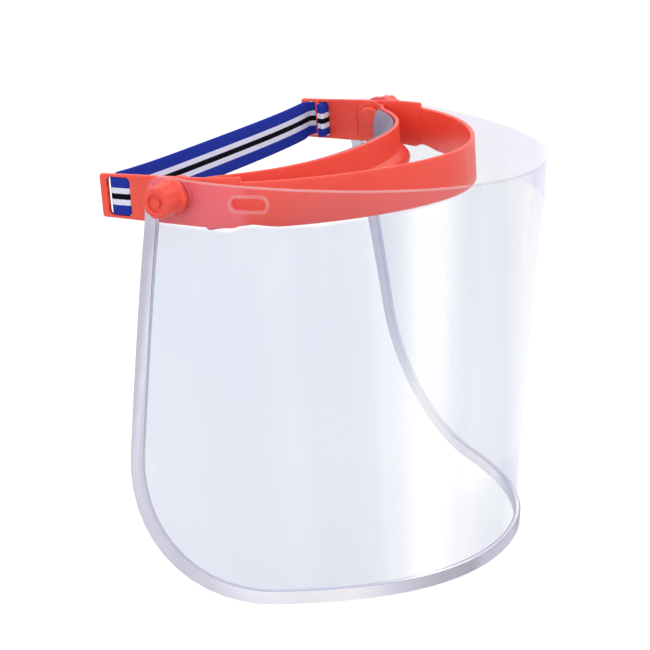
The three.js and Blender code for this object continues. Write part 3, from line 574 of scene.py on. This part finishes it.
def visor_veil(tree, where, place, share, zones, banded):
    """How dense the sheet looks: its own veil, that of its upper strip and that of its cut edge."""
    far, top, rim = zones
    hem = ranged(tree, place["Z"], *HEM_REACH, ease="SMOOTHSTEP")
    body, at_hem, upper, far_upper = (value_ramp(tree, share, knots)
                                      for knots in (BODY_VEIL, HEM_VEIL, TOP_VEIL, FAR_TOP_VEIL))
    body = mixed(tree, "FLOAT", hem, at_hem, body)
    # Thinner on the far side: the near flank's denser veil is partly a painted reflection
    thinner = ranged(tree, place["X"], 0.0, FAR_SIDE_REACH, 1.0, FAR_SIDE_VEIL)
    (low, low_factor), (high, high_factor) = LOW_VEIL, HIGH_VEIL
    hemward = ranged(tree, place["Z"], low, high, low_factor, high_factor)
    body = calculated(tree, "MULTIPLY", body, calculated(tree, "MULTIPLY", thinner, hemward))
    veil = mixed(tree, "FLOAT", top, body, mixed(tree, "FLOAT", far, upper, far_upper))
    veil = mixed(tree, "FLOAT", rim, veil, mixed(tree, "FLOAT", banded, *RIM_VEIL))
    stretched = add_node(tree, "ShaderNodeMapping", {"Vector": where, "Scale": SMEAR_AND_STREAK_SCALE}).outputs["Vector"]
    # Smears down the sheet, partly painted reflection streaks
    smear_and_streak = ranged(tree, noise(tree, stretched, scale=1.0, detail=2.0, roughness=0.4), *SMEAR_AND_STREAK_NOISE, *SMEAR_AND_STREAK)
    edge_on = add_node(tree, "ShaderNodeLayerWeight", {"Blend": EDGE_ON_BLEND}).outputs["Facing"]
    return calculated(tree, "MULTIPLY_ADD", veil, smear_and_streak, calculated(tree, "MULTIPLY", edge_on, EDGE_ON_VEIL),
                      use_clamp=True)


def visor_material():
    """Clear polished sheet: a pale blue veil, a painted reflection down its bends that glows a little, and a
    brighter cut upper edge.
    """
    def make(name):
        material, tree, shader = new_material(name)
        where = object_coordinates(tree)
        place = separated(tree, where)
        share = round_the_sheet(tree, place)
        zones = visor_zones(tree, where, place, share)
        far, top, rim = zones
        banded = mixed(tree, "FLOAT", far, value_ramp(tree, share, RIM_OVER_BANDS), 0.0)
        # The painted reflection: a white gleam down the bends, which glows a little as painted light outside
        # the upper strip
        gleam = value_ramp(tree, share, BODY_PAINTED_GLEAM)
        body = mixed(tree, "RGBA", gleam, paint("visor_tint"), paint("visor_painted_gleam"))
        flank = value_ramp(tree, share, TOP_FLANK)
        upper = mixed(tree, "RGBA", flank, paint("visor_front"), paint("visor_top"))
        upper = mixed(tree, "RGBA", far, upper, paint("visor_inside"))
        edge = mixed(tree, "RGBA", banded, paint("visor_edge"), paint("visor_rim"))
        painted_glow = mixed(tree, "RGBA", gleam, BLACK, (PAINTED_GLEAM_GLOW, PAINTED_GLEAM_GLOW, PAINTED_GLEAM_GLOW, 1))
        feed(tree, shader, {
            "Base Color": mixed(tree, "RGBA", rim, mixed(tree, "RGBA", top, body, upper), edge),
            "Alpha": visor_veil(tree, where, place, share, zones, banded),
            "Roughness": ranged(tree, noise(tree, where, scale=30.0, detail=2.0), 0.0, 1.0, *POLISH),
            "Emission Color": mixed(tree, "RGBA", top, painted_glow, BLACK), "Emission Strength": 1.0,
            "IOR": 1.58, "Specular IOR Level": 0.2})
        return material
    return kept("clear visor sheet", make)


def eyelet_material():
    def make(name):
        material, tree, shader = new_material(name)
        frost = noise(tree, object_coordinates(tree), scale=800.0, detail=3.0)
        feed(tree, shader, {"Base Color": paint("slot_rim"), "Alpha": 0.12,
                            "Roughness": ranged(tree, frost, 0.0, 1.0, *FROST)})
        return material
    return kept("frosted slot rim", make)


# The foam's open cells and the lumps between them: how many in a metre; the cells' share of the relief
FOAM_CELLS = 1500.0
FOAM_LUMPS = 420.0
CELL_DEPTH = 1.6
FOAM_NOISE = (0.25, 0.75)
FOAM_SHADE = (0.78, 1.08)


def foam_material():
    def make(name):
        material, tree, shader = new_material(name)
        where = object_coordinates(tree)
        cells = add_node(tree, "ShaderNodeTexVoronoi", {"Vector": where, "Scale": FOAM_CELLS},
                         feature="DISTANCE_TO_EDGE").outputs["Distance"]
        lumps = noise(tree, where, FOAM_LUMPS, detail=4.0, roughness=0.65)
        shade = ranged(tree, lumps, *FOAM_NOISE, *FOAM_SHADE)
        relief = calculated(tree, "MULTIPLY_ADD", cells, CELL_DEPTH, lumps)
        feed(tree, shader, {
            "Base Color": tinted(tree, paint("foam"), shade), "Roughness": 0.95, "Specular IOR Level": 0.25,
            "Normal": bumped(tree, relief, depth=0.4 * MM, strength=0.8)})
        return material
    return kept("grey foam", make)


# Colours of the strap from its lower edge up: the share of the width at which each yarn starts
STRIPE_STARTS = (0.0, 0.300, 0.431, 0.569, 0.700)
STRIPE_YARNS = ("strap_blue", "strap_white", "strap_black", "strap_white", "strap_blue")
# The stripes' edges wander by this share of the width
STRIPE_FRAY = 0.012
# Ribs in a metre of the strap, and yarns across its width; both shade it between these factors
RIBS = 900.0
YARNS = 22.0
WEAVE_SHADE = (0.84, 1.08)


def strap_material():
    """Woven elastic: stripes across its width, ribs across it and yarn along it, on the strap's own UV."""
    def make(name):
        material, tree, shader = new_material(name)
        uv = add_node(tree, "ShaderNodeUVMap", uv_map="webbing").outputs["UV"]
        place = separated(tree, uv)
        fray = ranged(tree, noise(tree, uv, scale=700.0, detail=2.0), 0.0, 1.0, -STRIPE_FRAY, STRIPE_FRAY)
        stripes = add_node(tree, "ShaderNodeValToRGB", {"Fac": calculated(tree, "ADD", place["Y"], fray)})
        ramp = stripes.color_ramp
        ramp.interpolation = "CONSTANT"
        for start, yarn in zip(STRIPE_STARTS, STRIPE_YARNS):
            element = ramp.elements[0] if start == 0 else ramp.elements.new(start)
            element.color = paint(yarn)
        ramp.elements.remove(ramp.elements[-1])
        waves = [calculated(tree, "SINE", calculated(tree, "MULTIPLY", place[way], math.tau * count))
                 for way, count in (("X", RIBS), ("Y", YARNS))]
        weave = calculated(tree, "MULTIPLY", *waves)
        shade = ranged(tree, weave, -1.0, 1.0, *WEAVE_SHADE)
        relief = ranged(tree, weave, -1.0, 1.0)
        feed(tree, shader, {
            "Base Color": tinted(tree, stripes.outputs["Color"], shade), "Roughness": 0.9,
            "Specular IOR Level": 0.03, "Normal": bumped(tree, relief, depth=0.25 * MM, strength=0.8)})
        return material
    return kept("striped elastic", make)


# Stage

SENSOR_WIDTH = 36
VIEW_DISTANCE = 20
# The floor lies under the lowest place that the visor's hem swings to
FLOOR_DROP = 14 * MM
FLOOR_SIZE = 8
# What the floor reflects and, for the rays that see it, gives off: white in all, and shaded under the object
FLOOR_SHADE = 0.46
FLOOR_GLOW = 0.54
# How strongly the backdrop lights the object, and how bright it looks itself
BACKDROP_LIGHT = 1.12
BACKDROP_LOOK = 1.0
# Soft boxes: name, place, width and height in metres, power in watts; all face the middle of the object
LAMPS = (
    ("key light", (-1.1, -1.5, 1.6), (1.2, 1.2), 6.5),
    ("fill light", (1.6, -0.9, 0.9), (0.9, 1.4), 5.0),
    ("back light", (0.4, 1.6, 1.2), (1.4, 0.8), 5.0),
    ("strip light", (-1.5, -0.25, 0.35), (0.16, 1.3), 2.2))
LAMP_AIM = Vector((0, -50 * MM, -80 * MM))


def seen(tree):
    """1 for rays from the camera, also once mirrored or let through, and 0 for the light that things get."""
    rays = add_node(tree, "ShaderNodeLightPath").outputs
    direct = calculated(tree, "MAXIMUM", rays["Is Camera Ray"], rays["Is Glossy Ray"])
    return calculated(tree, "MAXIMUM", direct, rays["Is Transmission Ray"])


class SHIELD_OT_stage(bpy.types.Operator):
    """Sets the camera at the photograph's angle, a plain floor and soft studio light"""

    bl_idname = "shield.stage"
    bl_label = "Camera, floor and light"

    def execute(self, context):
        self.set_camera(context)
        self.lay_floor(context)
        self.light(context)
        return {"FINISHED"}

    def set_camera(self, context):
        view = context.scene.shield_view
        a, e, r = view.azimuth, view.elevation, view.roll
        forward = -Vector((math.sin(a) * math.cos(e), -math.cos(a) * math.cos(e), math.sin(e)))
        level_right = Vector((math.cos(a), math.sin(a), 0))
        level_up = level_right.cross(forward)
        right = math.cos(r) * level_right + math.sin(r) * level_up
        up = -math.sin(r) * level_right + math.cos(r) * level_up
        data = bpy.data.cameras.new("camera")
        data.lens = view.lens
        data.sensor_width = SENSOR_WIDTH
        data.shift_x, data.shift_y = view.shift
        data.clip_end = VIEW_DISTANCE
        camera = bpy.data.objects.new("camera", data)
        context.scene.collection.objects.link(camera)
        turn = Matrix((right, up, -forward)).transposed().to_4x4()
        camera.matrix_world = Matrix.Translation(Vector(view.place)) @ turn
        context.scene.camera = camera

    def lay_floor(self, context):
        deselect_all()
        bpy.ops.mesh.primitive_plane_add(size=FLOOR_SIZE, location=(0, 0, CAD_BOX[0][2] - FLOOR_DROP))
        floor = context.object
        floor.name = "floor"
        material, tree, shader = new_material("pale floor")
        feed(tree, shader, {
            "Base Color": (FLOOR_SHADE, FLOOR_SHADE, FLOOR_SHADE, 1), "Roughness": 0.9,
            "Specular IOR Level": 0.1, "Emission Color": paint("backdrop"),
            "Emission Strength": calculated(tree, "MULTIPLY", seen(tree), FLOOR_GLOW)})
        floor.data.materials.append(material)

    def light(self, context):
        world = bpy.data.worlds.new("studio")
        world.use_nodes = True
        context.scene.world = world
        tree = world.node_tree
        feed(tree, tree.nodes["Background"], {
            "Color": paint("backdrop"),
            "Strength": ranged(tree, seen(tree), 0.0, 1.0, BACKDROP_LIGHT, BACKDROP_LOOK)})
        for name, place, size, power in LAMPS:
            data = bpy.data.lights.new(name, "AREA")
            data.shape = "RECTANGLE"
            data.size, data.size_y = size
            data.energy = power
            lamp = bpy.data.objects.new(name, data)
            context.scene.collection.objects.link(lamp)
            lamp.location = place
            lamp.rotation_euler = (LAMP_AIM - Vector(place)).to_track_quat("-Z", "Y").to_euler()
        context.scene.view_settings.view_transform = "Standard"


# Mouldings

class SHIELD_OT_bands(bpy.types.Operator):
    """Makes the outer hoop with its temple plates and the brow band, with rounded moulded edges"""

    bl_idname = "shield.bands"
    bl_label = "Hoop and brow band"

    def execute(self, context):
        for node, body in (("outer_band", "frame"), ("brow_band", "brow")):
            piece = merged_copy(node, f"{node}_moulding")
            round_edges(piece, sizes().moulding_round)
            smooth(piece)
            finish_piece(piece, node, body, moulding_material())
        return {"FINISHED"}


# Visor

# The middle of an oblong slot, seen from the side; where the sheet is probed in front of it, behind it, above
# it and below it; and how far from its middle its edge reaches
SLOT_Y, SLOT_Z = -38.8 * MM, -2.7 * MM
SLOT_PROBES = ((-55 * MM, SLOT_Z), (-24 * MM, SLOT_Z), (SLOT_Y, SLOT_Z + 7 * MM), (SLOT_Y, SLOT_Z - 7 * MM))
PROBE_START = 200 * MM
SLOT_EDGE_Y, SLOT_EDGE_Z = 10 * MM, 3.6 * MM
# A slot's rounded ends, and half of the straight run between them
SLOT_RADIUS = 2.95 * MM
SLOT_STRAIGHT = 5.75 * MM
SLOT_RIM_POINTS = 48
SLOT_RIM_ROUND = 0.2 * MM
SHEET_THICKNESS = 1.0 * MM
# Edges of the sheet sharper than this are cut edges, and its curve is made of flatter ones
SHEET_CREASE = math.radians(50)
# A face of the binding is the channel's inside where the sheet is this close and lies this squarely before it
LINING_REACH = 0.6 * MM
LINING_FACING = 0.6


def slot_frame(sheet, side):
    """Centre, direction along the sheet and outward normal at the oblong slot, found on the sheet itself."""
    sign = 1 if side == "left" else -1
    points = []
    for y, z in SLOT_PROBES:
        hit, place, _, _ = sheet.ray_cast(Vector((sign * PROBE_START, y, z)), Vector((-sign, 0, 0)))
        if not hit:
            raise RuntimeError("the visor sheet wasn't found beside its slot")
        points.append(place)
    front, rear, above, below = points
    along = (rear - front).normalized()
    up = (above - below).normalized()
    normal = along.cross(up).normalized()
    if normal.x * sign < 0:
        normal.negate()
    edge = [v.co for v in sheet.data.vertices if v.co.x * sign > 0
            and abs(v.co.y - SLOT_Y) < SLOT_EDGE_Y and abs(v.co.z - SLOT_Z) < SLOT_EDGE_Z]
    centre = sum(edge, Vector()) / len(edge)
    return centre, along, normal


class SHIELD_OT_visor(bpy.types.Operator):
    """Makes the clear sheet, the raised rims of its slots and the metal binding round its edge"""

    bl_idname = "shield.visor"
    bl_label = "Visor and binding"

    def execute(self, context):
        sheet = merged_copy("visor_sheet", "visor_sheet_clear")
        for side in SIDES:
            self.rim(sheet, side)
        round_edges(sheet, sizes().sheet_round, SHEET_CREASE)
        smooth(sheet)
        finish_piece(sheet, "visor_sheet", "visor", visor_material())
        binding = merged_copy("edge_binding", "edge_binding_metal")
        round_edges(binding, sizes().binding_round)
        smooth(binding)
        self.mark_lining(binding, sheet)
        # Its brightness round the visor is a painted reflection
        metal = metal_material("satin binding metal", "metal", low=0.34, high=0.50, shade=BINDING_PAINTED_REFLECTION,
                               lining="lining")
        finish_piece(binding, "edge_binding", "visor", metal)
        return {"FINISHED"}

    def mark_lining(self, binding, sheet):
        """Marks the faces of the binding's channel that look at the sheet."""
        lined = binding.data.attributes.new("lined", "FLOAT", "FACE")
        for face in binding.data.polygons:
            hit, place, _, _ = sheet.closest_point_on_mesh(face.center)
            towards = place - face.center
            close = hit and 0 < towards.length < LINING_REACH
            lined.data[face.index].value = float(
                close and towards.normalized().dot(face.normal) > LINING_FACING)

    def rim(self, sheet, side):
        """An oval ring: a primitive circle stretched into a slot's outline, given width and height."""
        centre, along, normal = slot_frame(sheet, side)
        up = normal.cross(along)
        width = sizes().eyelet_width
        deselect_all()
        bpy.ops.mesh.primitive_circle_add(vertices=SLOT_RIM_POINTS, radius=SLOT_RADIUS)
        ring = bpy.context.object
        ring.name = f"slot_rim_{side}"
        for vertex in ring.data.vertices:
            vertex.co.x += SLOT_STRAIGHT if vertex.co.x > 0 else -SLOT_STRAIGHT
        bpy.ops.object.mode_set(mode="EDIT")
        bpy.ops.mesh.select_all(action="SELECT")
        bpy.ops.mesh.extrude_edges_move()
        reach = SLOT_STRAIGHT + SLOT_RADIUS
        bpy.ops.transform.resize(value=((reach + width) / reach, 1 + width / SLOT_RADIUS, 1))
        bpy.ops.object.mode_set(mode="OBJECT")
        solid = ring.modifiers.new("height", "SOLIDIFY")
        solid.thickness = SHEET_THICKNESS + 2 * sizes().eyelet_proud
        solid.offset = 0
        apply_modifiers(ring)
        turn = Matrix((along, up, normal)).transposed().to_4x4()
        ring.data.transform(Matrix.Translation(centre) @ turn)
        bpy.ops.object.mode_set(mode="EDIT")
        bpy.ops.mesh.select_all(action="SELECT")
        bpy.ops.mesh.normals_make_consistent(inside=False)
        bpy.ops.object.mode_set(mode="OBJECT")
        round_edges(ring, SLOT_RIM_ROUND)
        smooth(ring)
        finish_piece(ring, None, "visor", eyelet_material())


# Brow pad

# How the remeshed foam is smoothed
RELAX_SHARE = 0.5
RELAX_ROUNDS = 6


class SHIELD_OT_brow_pad(bpy.types.Operator):
    """Makes the crowned foam pad inside the brow band"""

    bl_idname = "shield.brow_pad"
    bl_label = "Brow pad"

    def execute(self, context):
        pad = merged_copy("brow_pad", "brow_pad_foam")
        low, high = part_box("brow_pad")
        middle = (low.z + high.z) / 2
        swell = 1 + 2 * sizes().foam_swell / (high.z - low.z)
        for vertex in pad.data.vertices:
            vertex.co.z = middle + (vertex.co.z - middle) * swell
        remesh = pad.modifiers.new("foam skin", "REMESH")
        remesh.mode = "VOXEL"
        remesh.voxel_size = sizes().foam_voxel
        relax = pad.modifiers.new("relax", "SMOOTH")
        relax.factor = RELAX_SHARE
        relax.iterations = RELAX_ROUNDS
        apply_modifiers(pad)
        bpy.ops.object.shade_smooth()
        finish_piece(pad, "brow_pad", "brow", foam_material())
        return {"FINISHED"}


# Head strap

# The webbing's way through a temple plate, from the run behind the head to the end of its folded hem.
# First the corner into the window, with a short lead before it and steps down the plate after it
CORNER_RADIUS = 3.6 * MM
CORNER_LEAD = 0.6 * MM
PLATE_STEPS = (4 * MM, 6.5 * MM, 9 * MM)
# Then the turns over the bar and back, which lie a layer apart
BAR_TURN = 1.1 * MM
BAR_REACH = 6.2 * MM
LAYER_GAP = 0.12 * MM
HEM_FOLD = 2.3 * MM
HEM_OVERHANG = 0.3 * MM
RUN_STEPS = 30
TURN_STEPS = 6
# The strap hangs less and less towards its ends, which lie this far inside its box
SAG_END = 4 * MM
SAG_POWER = 4
# It draws in to its windows from this far inside its box, over this length: sideways, and forwards
DRAW_IN_SIDEWAYS = (9 * MM, 7 * MM)
DRAW_IN_FORWARDS = (1.4 * MM, 3 * MM)
WINDOW_PLAY = 0.05 * MM
# The windows' front corners are rounded, and the webbing in them more so
WINDOW_ROUND = 1.6 * MM
WINDOW_LEAD = 0.45 * MM
WINDOW_ROUND_LIMIT = 0.98
SECTION_STEPS = 6
SECTION_END_ANGLES = (30, 60, 90, 120, 150)
STRAP_CREASE = math.radians(50)


def strap_route():
    """Plan route of the webbing's middle layer, from its middle to the end of its folded hem, on the left."""
    low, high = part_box("head_strap")
    half = sizes().strap_thickness / 2
    outer = high.x - half
    rear = high.y - half
    front = low.y + half
    layer = sizes().strap_thickness + LAYER_GAP
    inner = outer - BAR_REACH
    run = outer - CORNER_RADIUS - CORNER_LEAD
    route = [(step / RUN_STEPS * run, rear) for step in range(RUN_STEPS + 1)]

    def turn(centre_x, centre_y, radius, start, end):
        for i in range(TURN_STEPS + 1):
            angle = math.radians(start + (end - start) * i / TURN_STEPS)
            route.append((centre_x + radius * math.cos(angle), centre_y + radius * math.sin(angle)))

    turn(outer - CORNER_RADIUS, rear - CORNER_RADIUS, CORNER_RADIUS, 90, 0)
    route.extend((outer, rear - step) for step in PLATE_STEPS)
    turn(outer - BAR_TURN, front + BAR_TURN, BAR_TURN, 0, -90)
    turn(inner, front + layer / 2, layer / 2, -90, -270)
    turn(outer - HEM_FOLD, front + 1.5 * layer, layer / 2, -90, 90)
    route.append((inner - HEM_OVERHANG, front + 2 * layer))
    return [Vector((x, y, 0)) for x, y in route]


def held(value):
    """The value, held between 0 and 1."""
    return min(max(value, 0.0), 1.0)


class SHIELD_OT_head_strap(bpy.types.Operator):
    """Makes the striped elastic strap, threaded over the bar of each temple plate and folded into a hem"""

    bl_idname = "shield.head_strap"
    bl_label = "Head strap"

    def execute(self, context):
        left = strap_route()
        right = [Vector((-p.x, p.y, 0)) for p in reversed(left[1:])]
        route = right + left
        lengths = [0.0]
        for a, b in zip(route, route[1:]):
            lengths.append(lengths[-1] + (b - a).length)
        low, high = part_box("head_strap")
        middle_z = (low.z + high.z) / 2
        full = sizes().strap_width
        section = self.section(full / 2, sizes().strap_thickness / 2)
        narrowing = [self.half_width(point, low, high) / (full / 2) for point in route]
        mesh = bmesh.new()
        webbing = mesh.loops.layers.uv.new("webbing")
        rings = []
        for i, point in enumerate(route):
            tangent = (route[min(i + 1, len(route) - 1)] - route[max(i - 1, 0)]).normalized()
            side = Vector((tangent.y, -tangent.x, 0))
            hang = sizes().strap_sag * max(0.0, 1 - (point.x / (high.x - SAG_END)) ** SAG_POWER)
            middle = Vector((point.x, point.y, middle_z - hang))
            rings.append([mesh.verts.new(middle + side * through + Vector((0, 0, up * narrowing[i])))
                          for through, up in section])

        def add_face(spots):
            """A face through the spots, each (ring, place in the section), with its place on the webbing."""
            face = mesh.faces.new([rings[ring][spot] for ring, spot in spots])
            for loop, (ring, spot) in zip(face.loops, spots):
                loop[webbing].uv = (lengths[ring], section[spot][1] * narrowing[ring] / full + 0.5)

        count, last = len(section), len(rings) - 1
        for i in range(last):
            for j in range(count):
                k = (j + 1) % count
                add_face(((i, j), (i, k), (i + 1, k), (i + 1, j)))
        add_face([(0, spot) for spot in reversed(range(count))])
        add_face([(last, spot) for spot in range(count)])
        bmesh.ops.recalc_face_normals(mesh, faces=mesh.faces)
        data = bpy.data.meshes.new("head_strap_webbing")
        mesh.to_mesh(data)
        mesh.free()
        strap = new_piece("head_strap_webbing", data)
        smooth(strap, STRAP_CREASE)
        finish_piece(strap, "head_strap", "frame", strap_material())
        return {"FINISHED"}

    def half_width(self, point, low, high):
        """Half the webbing's width: it draws in to its windows, and more in their rounded front corners."""
        window_half = (high.z - low.z) / 2 - WINDOW_PLAY
        (side_start, side_run), (front_start, front_run) = DRAW_IN_SIDEWAYS, DRAW_IN_FORWARDS
        near = max(held((abs(point.x) - (high.x - side_start)) / side_run),
                   held((high.y - front_start - point.y) / front_run))
        near = near * near * (3 - 2 * near)
        half = sizes().strap_width / 2 * (1 - near) + window_half * near
        depth = max(low.y + WINDOW_ROUND - point.y + WINDOW_LEAD, 0.0)
        depth = min(depth, WINDOW_ROUND_LIMIT * WINDOW_ROUND)
        return half - WINDOW_ROUND + math.sqrt(WINDOW_ROUND ** 2 - depth ** 2)

    def section(self, half_width, half_thick):
        """The webbing's rounded cross-section, as pairs of places through it and up its width."""
        points = []
        for sign in (1, -1):
            centre = sign * (half_width - half_thick)
            points.extend((sign * half_thick, i / SECTION_STEPS * centre)
                          for i in range(-SECTION_STEPS, SECTION_STEPS + 1))
            for degrees in SECTION_END_ANGLES:
                angle = math.radians(degrees)
                points.append((sign * half_thick * math.cos(angle),
                               centre + sign * half_thick * math.sin(angle)))
        return points


# Pivot hardware

FINE_STREAKS = 1600.0


class SHIELD_OT_pivots(bpy.types.Operator):
    """Makes the bolts, washers, springs, inserts and clamp knobs of both pivots"""

    bl_idname = "shield.pivots"
    bl_label = "Pivots and knobs"

    def execute(self, context):
        brass = metal_material("turned brass", "brass", low=0.2, high=0.36, streak=FINE_STREAKS)
        steel = metal_material("spring steel", "steel", low=0.18, high=0.3, streak=FINE_STREAKS)
        for side in SIDES:
            for part, body, slot, material in (
                    ("pivot_bolt", "frame", "moulding", moulding_material()),
                    ("friction_washer", "frame", "moulding", moulding_material()),
                    ("clamp_washer", "visor", "moulding", moulding_material()),
                    ("spring_washer", f"{side}_knob", "spring_steel", steel),
                    ("knob", f"{side}_knob", "moulding", moulding_material()),
                    ("knob_insert", f"{side}_knob", "brass", brass)):
                node = f"{part}_{side}"
                piece = merged_copy(node, f"{node}_finished")
                if part != "spring_washer":
                    round_edges(piece, sizes().hardware_round)
                smooth(piece)
                finish_piece(piece, node, body, material)
        return {"FINISHED"}


class SHIELD_PT_panel(bpy.types.Panel):
    """Lists the steps that build the face shield"""

    bl_label = "Face shield"
    bl_idname = "SHIELD_PT_panel"
    bl_space_type = "VIEW_3D"
    bl_region_type = "UI"
    bl_category = "Face shield"

    def draw(self, context):
        for operator in OPERATORS:
            self.layout.operator(operator.bl_idname)
        for group in (context.scene.shield_sizes, context.scene.shield_colours, context.scene.shield_view):
            box = self.layout.box()
            for name in group.__annotations__:
                box.prop(group, name)


OPERATORS = (SHIELD_OT_stage, SHIELD_OT_bands, SHIELD_OT_visor, SHIELD_OT_brow_pad, SHIELD_OT_head_strap,
             SHIELD_OT_pivots)
PROPERTY_GROUPS = (("shield_sizes", ShieldSizes), ("shield_colours", ShieldColours),
                   ("shield_view", ShieldView))


def register():
    for name, group in PROPERTY_GROUPS:
        bpy.utils.register_class(group)
        setattr(bpy.types.Scene, name, PointerProperty(type=group))
    for operator in OPERATORS:
        bpy.utils.register_class(operator)
    bpy.utils.register_class(SHIELD_PT_panel)


def unregister():
    bpy.utils.unregister_class(SHIELD_PT_panel)
    for operator in reversed(OPERATORS):
        bpy.utils.unregister_class(operator)
    for name, group in reversed(PROPERTY_GROUPS):
        delattr(bpy.types.Scene, name)
        bpy.utils.unregister_class(group)


def main():
    register()
    bpy.ops.shield.stage()
    bpy.ops.shield.bands()
    bpy.ops.shield.visor()
    bpy.ops.shield.brow_pad()
    bpy.ops.shield.head_strap()
    bpy.ops.shield.pivots()
    deselect_all()


if __name__ == "__main__":
    main()
